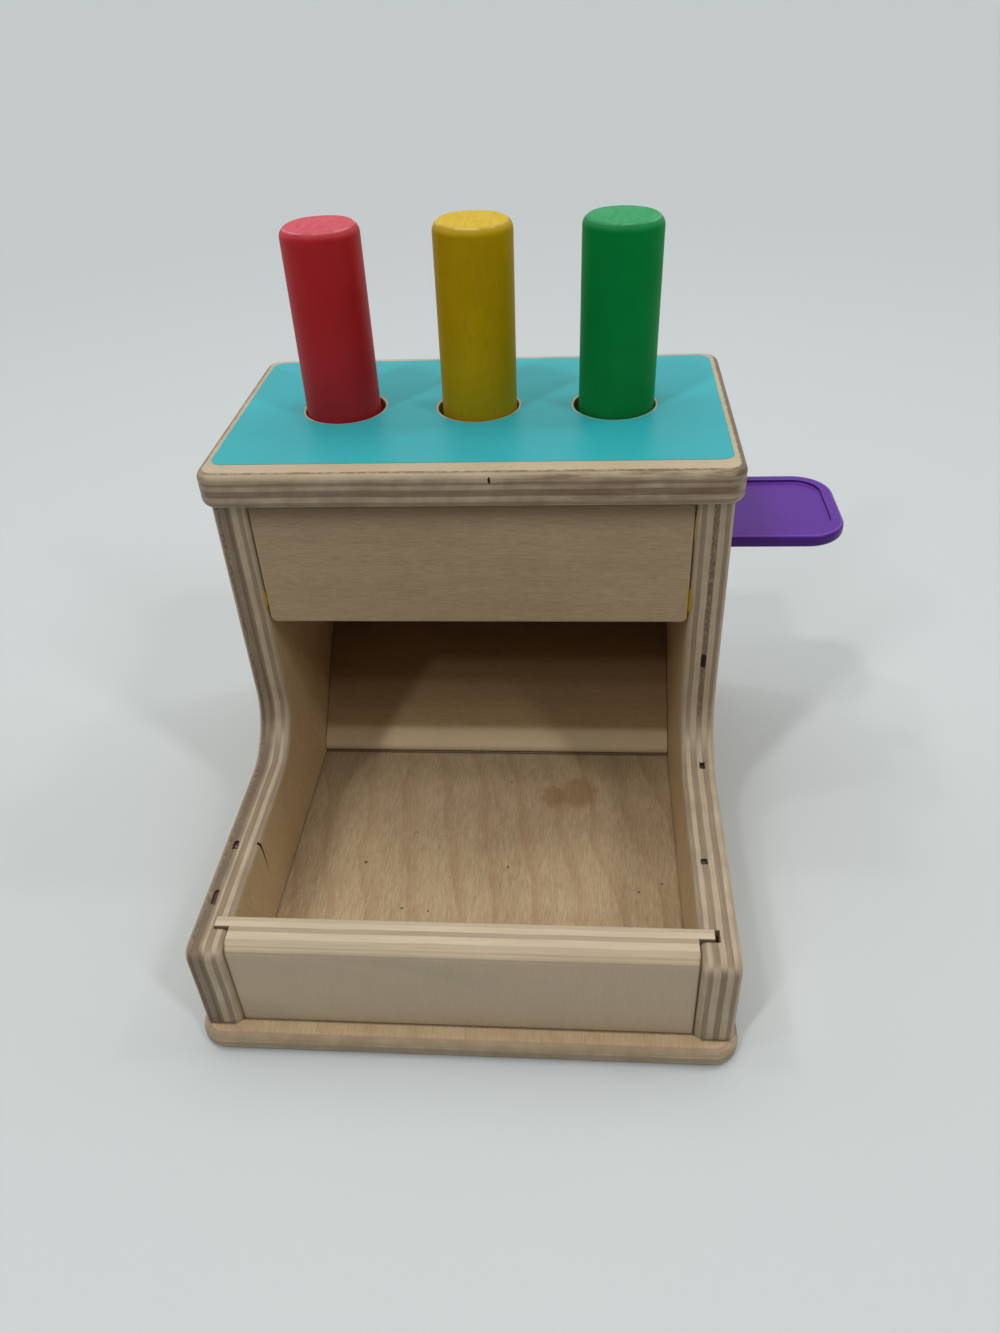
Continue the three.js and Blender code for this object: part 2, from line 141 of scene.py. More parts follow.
def raise_faces(bm, height):
    """Thickens flat faces upwards."""
    raised = bmesh.ops.extrude_face_region(bm, geom=bm.faces[:])["geom"]
    top = [part for part in raised if isinstance(part, bmesh.types.BMVert)]
    bmesh.ops.translate(bm, vec=(0, 0, height), verts=top)
    bmesh.ops.recalc_face_normals(bm, faces=bm.faces)


def sheet(corners):
    """Flat face through (u, v, corner radius) corners."""
    bm = bmesh.new()
    loop = [bm.verts.new((u, v, 0)) for u, v, _ in corners]
    bm.faces.new(loop)
    for vert, (_, _, radius) in zip(loop, corners):
        if radius:
            bevel(bm, [vert], radius, CORNER_STEPS, "VERTICES")
    return bm


def board(corners, thickness, rim=0, square=()):
    """Board of an outline, with a rounded rim but for the edges along the square v lines."""
    bm = sheet(corners)
    raise_faces(bm, thickness)

    def rounded(edge):
        (_, v0, w0), (_, v1, w1) = (vert.co for vert in edge.verts)
        level = abs(w0 - w1) < LEVEL
        return level and not any(abs(v0 - v) + abs(v1 - v) < WELD for v in square)

    if rim:
        bevel(bm, [edge for edge in bm.edges if rounded(edge)], rim, RIM_STEPS)
    return bm


def rectangle(u0, v0, u1, v1, radius=0):
    return [(u0, v0, radius), (u1, v0, radius), (u1, v1, radius), (u0, v1, radius)]


def stand(bm, u, v, w, at=(0, 0, 0)):
    """Turns a shape's own axes to these directions and moves it."""
    turn = Matrix((u, v, w)).transposed().to_4x4()
    bmesh.ops.transform(bm, matrix=Matrix.Translation(at) @ turn, verts=bm.verts)
    return bm


def block(low, high):
    """Box between two corners."""
    bm = bmesh.new()
    bmesh.ops.create_cube(bm, size=1)
    bmesh.ops.translate(bm, vec=(0.5, 0.5, 0.5), verts=bm.verts)
    bmesh.ops.scale(bm, vec=Vector(high) - Vector(low), verts=bm.verts)
    bmesh.ops.translate(bm, vec=low, verts=bm.verts)
    return bm


def rod(diameter, low, high, sides=ROUND_SIDES):
    """Upright rod between two points on one axis."""
    bm = bmesh.new()
    bmesh.ops.create_cone(
        bm, cap_ends=True, cap_tris=False, segments=sides, radius1=diameter / 2,
        radius2=diameter / 2, depth=high[2] - low[2],
    )
    bmesh.ops.translate(bm, vec=(low[0], low[1], (low[2] + high[2]) / 2), verts=bm.verts)
    return bm


def turned(profile, at):
    """Shape of revolution about Z, from (radius, z) points that run from axis to axis."""
    bm = bmesh.new()
    line = [bm.verts.new((radius, 0, z)) for radius, z in profile]
    edges = [bm.edges.new(pair) for pair in zip(line, line[1:])]
    bmesh.ops.spin(
        bm, geom=line + edges, cent=(0, 0, 0), axis=(0, 0, 1), dvec=(0, 0, 0),
        angle=2 * math.pi, steps=ROUND_SIDES, use_merge=True,
    )
    bmesh.ops.remove_doubles(bm, verts=bm.verts, dist=WELD)
    bmesh.ops.recalc_face_normals(bm, faces=bm.faces)
    bmesh.ops.translate(bm, vec=at, verts=bm.verts)
    return bm


def pebble(at, size):
    """Small uneven lump."""
    bm = bmesh.new()
    bmesh.ops.create_icosphere(bm, subdivisions=3, radius=0.5)
    return roughened(bm, at, size)


def core_gap(at, size):
    """Uneven box, the shape of a gap in a core ply."""
    bm = bmesh.new()
    bmesh.ops.create_cube(bm, size=1)
    bmesh.ops.subdivide_edges(bm, edges=bm.edges, cuts=5, use_grid_fill=True)
    return roughened(bm, at, size)


def roughened(bm, at, size):
    """Makes a unit shape uneven, and gives it its size and place."""
    for vert in bm.verts:
        vert.co *= 1 + 0.3 * noise.noise(vert.co * 3 + Vector(at))
    bmesh.ops.scale(bm, vec=size, verts=bm.verts)
    bmesh.ops.translate(bm, vec=at, verts=bm.verts)
    return bm


def thing(name, bm, finish):
    """Object of a shape, in metres."""
    bmesh.ops.scale(bm, vec=(MM, MM, MM), verts=bm.verts)
    bmesh.ops.recalc_face_normals(bm, faces=bm.faces)
    mesh = bpy.data.meshes.new(name)
    bm.to_mesh(mesh)
    bm.free()
    mesh.materials.append(finish)
    made = bpy.data.objects.new(name, mesh)
    bpy.context.scene.collection.objects.link(made)
    return made


def carve(piece, tools, finish):
    """Cuts shapes out of a piece. The cut faces get the finish."""
    cutters = [thing(f"{piece.name}_tool", bm, finish) for bm in tools]
    for cutter in cutters:
        cut = piece.modifiers.new("cut", "BOOLEAN")
        cut.operation = "DIFFERENCE"
        cut.solver = "EXACT"
        cut.material_mode = "TRANSFER"
        cut.object = cutter
    depsgraph = bpy.context.evaluated_depsgraph_get()
    whole = piece.data
    piece.data = bpy.data.meshes.new_from_object(piece.evaluated_get(depsgraph))
    piece.modifiers.clear()
    bpy.data.meshes.remove(whole)
    for cutter in cutters:
        bpy.data.objects.remove(cutter)


def fit(piece, body, node, arris=0.0):
    """Finishes a piece's edges and shading, and puts it on a body in place of a CAD node."""
    piece.data.shade_smooth()
    piece.data.set_sharp_from_angle(angle=CREASE)
    if arris:
        ease = piece.modifiers.new("arris", "BEVEL")
        ease.limit_method = "ANGLE"
        ease.angle_limit = ARRIS_ANGLE
        ease.width = arris * MM
        ease.segments = 2
        ease.use_clamp_overlap = True
    normals = piece.modifiers.new("normals", "WEIGHTED_NORMAL")
    normals.keep_sharp = True
    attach(piece, body)
    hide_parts(node)


# Materials

def tone(code):
    """Linear colour of a hex code."""
    shares = [int(code[i:i + 2], 16) / 255 for i in (0, 2, 4)]
    return (*(s / 12.92 if s <= 0.04045 else ((s + 0.055) / 1.055) ** 2.4 for s in shares), 1)


class Signal:
    """A socket of a material's node tree, for use in Python expressions."""

    def __init__(self, tree, socket=None):
        self.tree = tree
        self.socket = socket

    def node(self, kind, settings=None, inputs=None, output=0):
        """Adds a node, sets it up, feeds its sockets and returns one of its outputs."""
        new = self.tree.nodes.new("ShaderNode" + kind)
        for name, setting in (settings or {}).items():
            if name == "stops":
                ramp = new.color_ramp.elements
                while len(ramp) < len(setting):
                    ramp.new(1)
                for stop, (position, value) in zip(ramp, setting):
                    stop.position = position
                    stop.color = value if isinstance(value, tuple) else (value, value, value, 1)
            else:
                setattr(new, name, setting)
        for key, value in (inputs or {}).items():
            if isinstance(value, Signal):
                self.tree.links.new(value.socket, new.inputs[key])
            else:
                new.inputs[key].default_value = value
        return Signal(self.tree, new.outputs[output]) if new.outputs else None

    def math(self, operation, first, second=0.0):
        """Math node of two values."""
        return self.node("Math", {"operation": operation}, {0: first, 1: second})

    def __add__(self, other):
        return self.math("ADD", self, other)

    def __sub__(self, other):
        return self.math("SUBTRACT", self, other)

    def __rsub__(self, other):
        return self.math("SUBTRACT", other, self)

    def __mul__(self, other):
        return self.math("MULTIPLY", self, other)

    def __truediv__(self, other):
        return self.math("DIVIDE", self, other)

    __radd__ = __add__
    __rmul__ = __mul__

    def size(self):
        return self.math("ABSOLUTE", self)

    def larger(self, other):
        return self.math("MAXIMUM", self, other)

    def rise(self, low, high):
        """0 up to low, 1 from high on, and smooth between. With low above high it falls."""
        limits = {"Value": self, "From Min": low, "From Max": high}
        return self.node("MapRange", {"interpolation_type": "SMOOTHSTEP"}, limits)

    def between(self, start, end):
        """Colour that goes from start to end as this value goes from 0 to 1."""
        return self.node("Mix", {"data_type": "RGBA"}, {0: self, 6: start, 7: end}, 2)

    def layers(self, thickness, plies, blur):
        """Value of the ply at this depth of a board, from (start, value) pairs."""
        stops = [(0.0, float(plies[0][1]))]
        for (_, before), (begin, after) in zip(plies, plies[1:]):
            stops.append(((begin - blur) / thickness, float(before)))
            stops.append(((begin + blur) / thickness, float(after)))
        return self.node("ValToRGB", {"stops": stops}, {0: self / thickness})

    def shift(self, offset):
        return self.node("VectorMath", {"operation": "ADD"}, {0: self, 1: offset})

    def stretch(self, factors):
        return self.node("VectorMath", {"operation": "MULTIPLY"}, {0: self, 1: factors})

    def along(self, direction):
        """Share of this vector along a direction."""
        dot = {"operation": "DOT_PRODUCT"}
        return self.node("VectorMath", dot, {0: self, 1: direction}, "Value")

    def far(self, point):
        """Distance of this place from a point."""
        return self.node("VectorMath", {"operation": "DISTANCE"}, {0: self, 1: point}, "Value")

    def grain(self, scale, detail=3.0, rough=0.6):
        """Noise from 0 to 1 at this place."""
        amounts = {"Vector": self, "Scale": scale, "Detail": detail, "Roughness": rough}
        return self.node("TexNoise", None, amounts)

    def pits(self, spacing, radius):
        """Mask of scattered small dots."""
        cells = self.node("TexVoronoi", None, {"Vector": self, "Scale": 1 / spacing})
        return (cells * spacing).rise(radius, 0.4 * radius)


def join(u, v, w):
    """Vector of three values."""
    return u.node("CombineXYZ", None, {0: u, 1: v, 2: w})


def start(name):
    """New material, with its place in millimetres and its surface normal."""
    material = bpy.data.materials.new(name)
    material.use_nodes = True
    material.node_tree.nodes.clear()
    empty = Signal(material.node_tree)
    metres = empty.node("TexCoord", output="Object")
    place = metres.node("VectorMath", {"operation": "SCALE"}, {0: metres, "Scale": 1 / MM})
    return material, place, empty.node("NewGeometry", output="Normal")


def shade(place, height, depth, strength=0.5, **sockets):
    """Principled surface with a relief of that depth in millimetres."""
    relief = {"Height": height, "Distance": depth * MM, "Strength": strength}
    names = {name.replace("_", " ").title().replace("Ior", "IOR"): v for name, v in sockets.items()}
    names["Normal"] = place.node("Bump", None, relief)
    surface = place.node("BsdfPrincipled", None, names)
    place.node("OutputMaterial", None, {"Surface": surface})


CORE_LIGHT, CORE_DARK = tone("CAB89C"), tone("B9A588")
END_LIGHT, END_DARK = tone("9E8A73"), tone("84705B")
SEAM_BROWN = tone("715C44")
RING_BROWN = tone("96694A")
PORE_BROWN = tone("5E4730")
GRIME_AND_SHADE = tone("665543")
JOINT_DIRT = tone("36240F")
SEAM_HALF = 0.2


def plywood(name, origin, across, grain, plies, thickness, veneer, seed, figure=0.1, spacing=14.0,
            slant=0.0, dashes=0.2, grime_and_shade=0.3, marks=None, rim=(0.62, 0.97), gloss=0.35):
    """Birch plywood whose plies lie across a direction and start at the origin.

    Plies are (start, darkness of the cut ends). The first one's fibres follow the grain and each
    ply crosses the one before it, so that a ply looks pale where an edge runs along its fibres,
    and dark where the edge cuts them. The veneer is a light and a dark colour, and its growth rings
    have a strength (figure), a spacing and a slant. Marks add what is on this board alone.
    """
    material, place, normal = start(name)
    side = across.cross(grain)
    moved = place.shift((37 * seed, 53 * seed, 71 * seed))
    u, v = moved.along(grain), moved.along(side)
    depth = place.shift(-Vector(origin)).along(across) + (moved.grain(0.035, 2) - 0.5) * 0.8

    # Edges: streaks run along them in every ply
    crossed = depth.layers(thickness, [(begin, i % 2) for i, (begin, _) in enumerate(plies)], 0.08)
    darkness = depth.layers(thickness, plies, 0.1)
    by_grain, by_side = normal.along(grain).size(), normal.along(side).size()
    cut = (by_grain + (by_side - by_grain) * crossed).rise(*rim) * darkness
    streak = join(u * 0.05, v * 0.05, depth * 2.4).grain(1.0, 4, 0.6).rise(0.25, 0.75)
    edge = cut.between(streak.between(CORE_DARK, CORE_LIGHT), streak.between(END_DARK, END_LIGHT))
    lines = [(0.0, 0.0)]
    for begin, _ in plies[1:]:
        lines.append(((begin - SEAM_HALF) / thickness, 0.0))
        lines.append((begin / thickness, 1.0))
        lines.append(((begin + SEAM_HALF) / thickness, 0.0))
    seam = depth.node("ValToRGB", {"stops": lines}, {0: depth / thickness})
    edge = (seam * 0.25).between(edge, SEAM_BROWN)
    # Cut edges darken in patches towards a grey brown: partly dirt, partly painted shade
    handling_and_painted_light = moved.grain(0.12, 4, 0.65).rise(0.3, 0.7)
    edge = ((0.45 + 0.55 * handling_and_painted_light) * grime_and_shade).between(edge, GRIME_AND_SHADE)

    # Faces: fine fibres, broad bands, and growth rings that end sharply on one side
    fibre = join(u * 0.13, v * 1.7, depth).grain(1.0, 3, 0.6).rise(0.3, 0.7)
    band = join(u * 0.01, v * 0.2, depth * 0.1).grain(1.0, 3, 0.55).rise(0.25, 0.75)
    cloud = moved.grain(0.03, 3).rise(0.25, 0.75)
    wander = (join(u * 0.02, v * 0.02, depth * 0.05).grain(1.0, 2) - 0.5) * 20
    turn = (v + slant * u + wander) / spacing
    ring = turn.math("FRACT", turn)
    line = ring.rise(0.55, 0.97) * ring.rise(1.0, 0.97) * join(u * 0.03, v * 0.1, depth).grain(1.0, 2)
    hair = join(u * 0.3, v * 4.0, depth).grain(1.0, 2, 0.6).rise(0.35, 0.65)
    light, dark = veneer
    tan = (0.35 * fibre + 0.3 * hair + 0.15 * band + 0.2 * cloud).between(tone(dark), tone(light))
    face_colour = (line * figure * 2).between(tan, RING_BROWN)
    dash = join(u * 0.3, v * 2.6, depth).grain(1.0, 1).rise(0.64, 0.74)
    face_colour = (dash * dashes).between(face_colour, PORE_BROWN)

    face = normal.along(across).size().rise(0.88, 0.985)
    colour = face.between(edge, face_colour)
    colour = (face * (1 - face) * 1.2).between(colour, SEAM_BROWN)
    colour = (moved.pits(9.0, 0.3) * 0.6).between(colour, PORE_BROWN)
    if marks:
        colour = marks(place, normal, colour)
    relief = face * (0.4 * fibre - dash) + (1 - face) * (0.4 * streak - 0.5 * seam - 0.3 * cut)
    shade(
        place, relief, 0.1, 0.5, base_color=colour, roughness=0.54 + 0.16 * cut - 0.08 * fibre,
        specular_ior_level=gloss,
    )
    return material


def dyed_wood(name, body, shadow, end_tone, rub_and_highlight_tone, pores, gloss, centre, seed):
    """Dyed dowel: fine short streaks along the peg, paler on its flat ends, with rims partly sanded
    pale and partly painted light, a painted highlight along the rubbed brink, and a painted-light
    lower half."""
    material, place, normal = start(name)
    from_middle = place.shift(-Vector(centre))
    local = from_middle.shift((41 * seed, 67 * seed, 29 * seed))
    streak = local.stretch((0.9, 0.9, 0.03)).grain(1.0, 4, 0.6).rise(0.25, 0.75)
    dash = local.stretch((2.4, 2.4, 0.16)).grain(1.0, 1).rise(0.64, 0.76)
    cloud = local.grain(0.045, 3).rise(0.25, 0.75)
    upright = normal.along(Z).size()
    end = upright.rise(0.88, 0.98)
    rim = upright.rise(0.1, 0.6) * (1 - end)
    brink = upright.rise(0.66, 0.84) * (1 - end)
    colour = (0.25 * streak + 0.75 * cloud).between(tone(shadow), tone(body))
    # Painted light: the lower half is made paler, as if lit from the deck below
    painted_lower_light = from_middle.along(Z).rise(25, -15) * (0.6 + 0.4 * cloud)
    colour = (painted_lower_light * 0.15).between(colour, tone(end_tone))
    colour = (dash * pores).between(colour, PORE_BROWN)
    rings = local.stretch((0.5, 0.12, 0)).grain(1.0, 3).rise(0.3, 0.7)
    colour = end.between(colour, (rings * 0.35).between(tone(end_tone), tone(body)))
    rubbed = local.stretch((0.16, 0.16, 0.3)).grain(1.0, 2).rise(0.4, 0.6)
    # Rims paler: partly sanded, partly painted light from above
    colour = (rim * 0.3).between(colour, tone(end_tone))
    # Painted highlight along the brink, in patches of rubbing
    colour = (brink * (0.2 + 0.5 * rubbed)).between(colour, tone(rub_and_highlight_tone))
    shade(
        place, 0.3 * streak - dash * (1 - end), 0.06, 0.5, base_color=colour,
        roughness=0.42 + 0.14 * end + 0.06 * streak, specular_ior_level=gloss,
    )
    return material


def satin_paint(name):
    """Rolled turquoise paint, with fine peel and a few grains of dust."""
    material, place, _ = start(name)
    peel = place.grain(1.1, 3, 0.55)
    cloud = place.grain(0.03, 3).rise(0.25, 0.75)
    dust = place.pits(9.0, 0.3)
    colour = (0.6 * cloud + 0.4 * peel).between(tone("30A7AE"), tone("38B1B8"))
    colour = (dust * 0.6).between(colour, tone("1F5F62"))
    scuff = place.stretch((0.3, 0.05, 1)).grain(1.2, 4, 0.7).rise(0.55, 0.8)
    shade(
        place, peel + dust * 1.5, 0.05, 0.35, base_color=colour,
        roughness=0.34 + 0.06 * cloud + 0.06 * scuff, specular_ior_level=0.2,
    )
    return material


def moulded_plastic(name):
    """Purple plastic with a fine spark texture, light scuffs, painted shade on the sides and painted
    highlights on the arrises.
    """
    material, place, normal = start(name)
    upright = normal.along(Z)
    spark = place.grain(5.5, 2, 0.5)
    cloud = place.grain(0.05, 3).rise(0.25, 0.75)
    scuff = place.stretch((0.05, 0.9, 0.9)).grain(1.4, 4, 0.7).rise(0.6, 0.8)
    colour = cloud.between(tone("56218C"), tone("5E2896"))
    # Painted shade: the sides are darker than the top
    colour = (upright.size().rise(0.9, 0.5) * 0.7).between(colour, tone("3A0868"))
    # Painted highlight along the upper arrises
    painted_arris_highlight = upright.rise(0.76, 0.86) * upright.rise(0.985, 0.93)
    colour = (painted_arris_highlight * 0.5).between(colour, tone("8450C0"))
    colour = (scuff * 0.12).between(colour, tone("9A6FCB"))
    shade(
        place, spark - scuff * 0.5, 0.03, 0.35, base_color=colour,
        roughness=0.34 + 0.1 * scuff + 0.06 * cloud, specular_ior_level=0.22,
    )
    return material


def plain_wood(name, light, dark, direction):
    """Solid wood of the hidden battens and dowels."""
    material, place, _ = start(name)
    squeeze = Vector((1, 1, 1)) - 0.95 * Vector(map(abs, direction))
    fibre = place.stretch(squeeze).grain(1.3, 5, 0.6).rise(0.28, 0.72)
    cloud = place.grain(0.05, 3)
    colour = (0.7 * fibre + 0.3 * cloud).between(tone(dark), tone(light))
    shade(place, fibre, 0.1, 0.5, base_color=colour, roughness=0.68 - 0.1 * fibre)
    return material


def zinc_steel(name):
    """Zinc-plated steel, mottled and lightly scratched."""
    material, place, _ = start(name)
    cloud = place.grain(0.8, 4, 0.6).rise(0.25, 0.75)
    scratch = place.stretch((0.3, 4, 4)).grain(2.0, 3, 0.6)
    colour = cloud.between(tone("A3A29C"), tone("C4C5C6"))
    shade(place, scratch, 0.02, 0.4, base_color=colour, metallic=1.0, roughness=0.3 + 0.2 * scratch)
    return material


def void_wood(name):
    """Charred-looking core wood at the bottom of a void: its own dark end grain and painted shade of
    the hollow.
    """
    material, place, _ = start(name)
    fibre = place.stretch((2.5, 0.6, 2.5)).grain(1.0, 4, 0.6)
    colour = fibre.between(tone("2A1E14"), tone("5C4631"))
    shade(place, fibre, 0.3, 0.8, base_color=colour, roughness=0.85 - 0.1 * fibre)
    return material


def dried_glue(name):
    """Amber glue that has squeezed out of a seam."""
    material, place, _ = start(name)
    lump = place.grain(0.8, 3)
    colour = lump.between(tone("8E7226"), tone("A98C34"))
    shade(place, lump, 0.1, 0.5, base_color=colour, roughness=0.3 + 0.2 * lump)
    return material


# Marks of use on single boards

# Places on the tray floor and their radii, and where the painted shade towards the ramp begins and is
# deepest
STAIN_LOBES = ((25.2, 8.8, 7, 3.5), (33.0, 11.2, 9, 5))
FLECKS = (
    (-41.7, -25.7, 0.9), (-25.4, -10.7, 0.5), (-14.5, -12.4, 0.4), (9.1, -26.6, 0.6),
    (-25.8, -45.9, 0.7), (-16.7, -46.9, 0.5), (7.9, 16.5, 0.5), (62.4, -32.7, 0.6),
    (54.4, -36.5, 0.6),
)
RAMP_SHADE_START, RAMP_SHADE_END = 5, 34

# Level of the glue beside the fascia, and depth of the brown seam in the lip
GLUE_LEVEL = 99
LIP_SEAM = 10.3


def floor_marks(place, normal, colour):
    """Stain with two lobes, a cleaner ledge before the lip, painted shade that darkens the floor
    towards the ramp, dirt in the joints, a bruised arris, and flecks on the floor."""
    ragged = (place.grain(0.25, 4, 0.65) - 0.5) * 9
    left_lobe, right_lobe = (
        (place.far((x, y, base_high.z)) + ragged).rise(outer, inner)
        for x, y, outer, inner in STAIN_LOBES
    )
    colour = (left_lobe.larger(right_lobe) * 0.5).between(colour, tone("86602F"))
    ledge = place.along(Y).rise(lip_low.y + 1, lip_low.y)
    colour = (ledge * 0.22).between(colour, tone("E2CBA2"))
    # Painted shade: the floor darkens towards the ramp, under the tower
    painted_ramp_shade = place.along(Y).rise(RAMP_SHADE_START, RAMP_SHADE_END) * (0.5 + place.grain(0.06, 3))
    colour = (painted_ramp_shade * 0.16).between(colour, tone("5C4A36"))
    beside, back = place.along(X).size(), place.along(Y)
    level = normal.along(Z)
    within = beside.rise(right_low.x + 1, right_low.x + 0.6)
    under_panel = beside.rise(right_low.x + 1.1, right_low.x + 2.6)
    under_panel = under_panel * beside.rise(right_high.x + 0.6, right_high.x - 1)
    joints = [
        (back - lip_low.y).size().rise(0.9, 0.2) * within,
        (back - lip_high.y).size().rise(0.9, 0.2) * within * 0.6,
        (back - ramp_low.y).size().rise(0.7, 0.2) * within,
        (back - left_low.y).size().rise(0.8, 0.2) * under_panel,
        (beside - right_high.x).size().rise(0.8, 0.2) * back.rise(left_low.y, left_low.y + 2),
        (beside - right_low.x).size().rise(1, 0.2) * back.rise(lip_high.y - 1, lip_high.y) * 0.6,
    ]
    dirt = joints[0]
    for joint in joints[1:]:
        dirt = dirt.larger(joint)
    dirt = dirt * level.rise(0.9, 0.98) * (0.6 + 0.4 * place.grain(0.2, 3))
    colour = (dirt * 0.85).between(colour, JOINT_DIRT)
    arris = level.rise(0.84, 0.93) * level.rise(0.998, 0.97)
    colour = (arris * 0.32).between(colour, tone("8A5A3C"))
    for x, y, radius in FLECKS:
        fleck = (place.far((x, y, base_high.z)) + ragged * 0.04).rise(radius, 0.5 * radius)
        colour = (fleck * 0.8).between(colour, tone("3D2A1A"))
    return colour


def fascia_marks(place, normal, colour):
    """Glue haze that was wiped along both end seams, and painted shade under the deck's overhang."""
    from_end = fascia_high.x - place.along(X).size()
    smear = from_end.rise(1.6, 0.3) * place.grain(0.12, 3).rise(0.42, 0.6)
    low = (place.along(Z) - GLUE_LEVEL).size().rise(9, 4)
    colour = (smear * (0.2 + 0.6 * low)).between(colour, tone("B08A2E"))
    # Painted shade: the top of the fascia darkens under the deck's overhang
    painted_overhang_shade = place.along(Z).rise(fascia_high.z - 10, fascia_high.z - 1)
    return (painted_overhang_shade * 0.62).between(colour, tone("5A4632"))


def ramp_marks(place, normal, colour):
    """Pale band along the toe, partly wear where the pegs land and partly painted light, dirt at
    its foot, and painted shade that darkens it up the slope.
    """
    height = place.along(Z) - ramp_low.z
    # Painted shade: the ramp darkens up the slope, under the fascia
    painted_chute_shade = height.rise(12, 50) * (0.8 + 0.4 * place.grain(0.05, 3))
    colour = (painted_chute_shade * 0.7).between(colour, tone("341A08"))
    # Pale band at the toe: partly wear where the pegs land, partly painted light below the fascia's
    # shadow
    wear_and_painted_light = height.rise(9, 7) * (0.55 + 0.2 * place.grain(0.1, 3))
    colour = wear_and_painted_light.between(colour, tone("DCC8A6"))
    return (height.rise(1, 0.3) * 0.6).between(colour, JOINT_DIRT)


def rough_ply(place, normal, colour, depth, band, where):
    """Torn, dark ply between two depths of a panel's edge."""
    begin, end = band
    coarse = join(depth * 1.6, place.along(Y) * 0.7, place.along(Z) * 0.7)
    torn = coarse.grain(1.0, 3, 0.7).rise(0.38, 0.6)
    on_edge = normal.along(X).size().rise(0.7, 0.4)
    ply = depth.rise(begin - 0.2, begin + 0.2) * depth.rise(end + 0.2, end - 0.2)
    return (torn * on_edge * ply * where * 0.75).between(colour, tone("5C4834"))


def left_marks(place, normal, colour):
    """Darkened outer plies, and a torn one along the tray."""
    depth = left_high.x - place.along(X)
    on_edge = normal.along(X).size().rise(0.7, 0.4)
    low = place.along(Z).rise(80, 45)
    grubby = on_edge * depth.rise(5.6, 6.6) * (9.4 + 1.8 * low - depth).rise(0, 0.8)
    colour = (grubby * (0.4 + 0.4 * place.grain(0.15, 4, 0.7))).between(colour, tone("5A4836"))
    return rough_ply(place, normal, colour, depth, (8.9, 10.1), place.along(Y).rise(12, 6))


def right_marks(place, normal, colour):
    """Torn middle ply up the tower."""
    depth = place.along(X) - right_low.x
    return rough_ply(place, normal, colour, depth, (5.4, 7.1), place.along(Z).rise(48, 56))


def deck_marks(place, normal, colour):
    """Bruised upper arris, cleaner along the front than at the ends of the fibres, and a clean ring
    round each hole."""
    upright, endwise = normal.along(Z), normal.along(X).size()
    arris = upright.rise(0.82, 0.92) * upright.rise(0.998, 0.975)
    chip = place.stretch((0.4, 0.4, 1.5)).grain(1.0, 4, 0.7).rise(0.4, 0.55)
    colour = (arris * (0.25 + 0.75 * chip) * 0.75).between(colour, tone("6E5236"))
    clean = upright.rise(0.1, 0.45) * upright.rise(0.9, 0.75) * endwise.rise(0.5, 0.2)
    colour = (clean * 0.4).between(colour, tone("CDB896"))
    at_front = place.along(Y).rise(deck_low.y + 5.65, deck_low.y - 0.35)
    brown = place.along(X).rise(0, 40) * at_front * upright.rise(-0.3, 0.3)
    patchy = place.stretch((0.05, 0.4, 0.6)).grain(1.0, 4, 0.65).rise(0.35, 0.65)
    colour = (brown * patchy * upright.rise(1, 0.9) * 0.85).between(colour, tone("623C21"))
    outer = place.along(X) + (place.grain(0.3, 3) - 0.5) * 1.5
    weathered = endwise.rise(0.1, 0.5).larger(outer.rise(deck_high.x - 1.6, deck_high.x - 0.4))
    weathered = weathered * upright.rise(0, 0.3) * (0.25 + 0.75 * place.along(X).rise(-5, 5))
    colour = (weathered * 0.65).between(colour, tone("54442F"))
    for x in HOLE_XS:
        from_hole = place.far((x, ROW_Y, deck_high.z)) - HOLE_DIAMETER / 2
        ring = from_hole.rise(1.7, 1.3) * upright.rise(0.1, 0.4)
        colour = (ring * 0.7).between(colour, tone("D2C2A4"))
    return colour


def lip_marks(place, normal, colour):
    """Cloudy veneer, rosy and olive by turns, a brown seam on the round, a painted highlight that
    pales the top and its round, and dirty ends."""
    x, y, z = (place.along(axis) for axis in (X, Y, Z))
    slanted = join(x * 0.012 + z * 0.03, y * 0.02, z * 0.05).grain(1.0, 3, 0.55)
    colour = (slanted.rise(0.5, 0.72) * 0.3).between(colour, tone("B49A84"))
    colour = (slanted.rise(0.48, 0.3) * 0.3).between(colour, tone("9C967A"))
    level = normal.along(Z)
    seam = (lip_high.y - LIP_SEAM - y).size().rise(0.35, 0.1) * level.rise(0.1, 0.3)
    colour = (seam * (0.15 + 0.4 * slanted)).between(colour, tone("8A6440"))
    # Painted highlight: the top and its round are paler where they face up
    handling_and_painted_light = level.rise(0.3, 0.7)
    colour = (handling_and_painted_light * 0.2).between(colour, tone("DCCDB2"))
    end = x.size().rise(SHOULDER - 0.7, SHOULDER - 0.1) * normal.along(Y).rise(-0.3, -0.6)
    return (end * 0.7).between(colour, tone("4A3520"))


# Plies of each board: start, and darkness of the cut ends
BASE_PLIES = [(0, 1), (2, 0.6), (2.7, 1), (4.6, 0.6), (5.2, 0.8)]
SIDE_PLIES = [(0, 0.8), (1.75, 0.9), (3.3, 0.9), (5.35, 1), (7.15, 0.9), (9.05, 0.9), (10.5, 0.8)]
DECK_PLIES = [(0, 0.9), (2.85, 0.8), (3.85, 0.9), (5.35, 1), (7.55, 0.9), (9.25, 0.7), (10.6, 0.9)]
LIP_PLIES = [(0, 0.45), (1.8, 0.9), (3.85, 1), (5.6, 0.9), (8.2, 0.6), (10.2, 0.9)]
THIN_PLIES = [(1.2 * i, 0.9) for i in range(5)]
FASCIA_PLIES = [(PANEL * i / 7, 0.9) for i in range(7)]

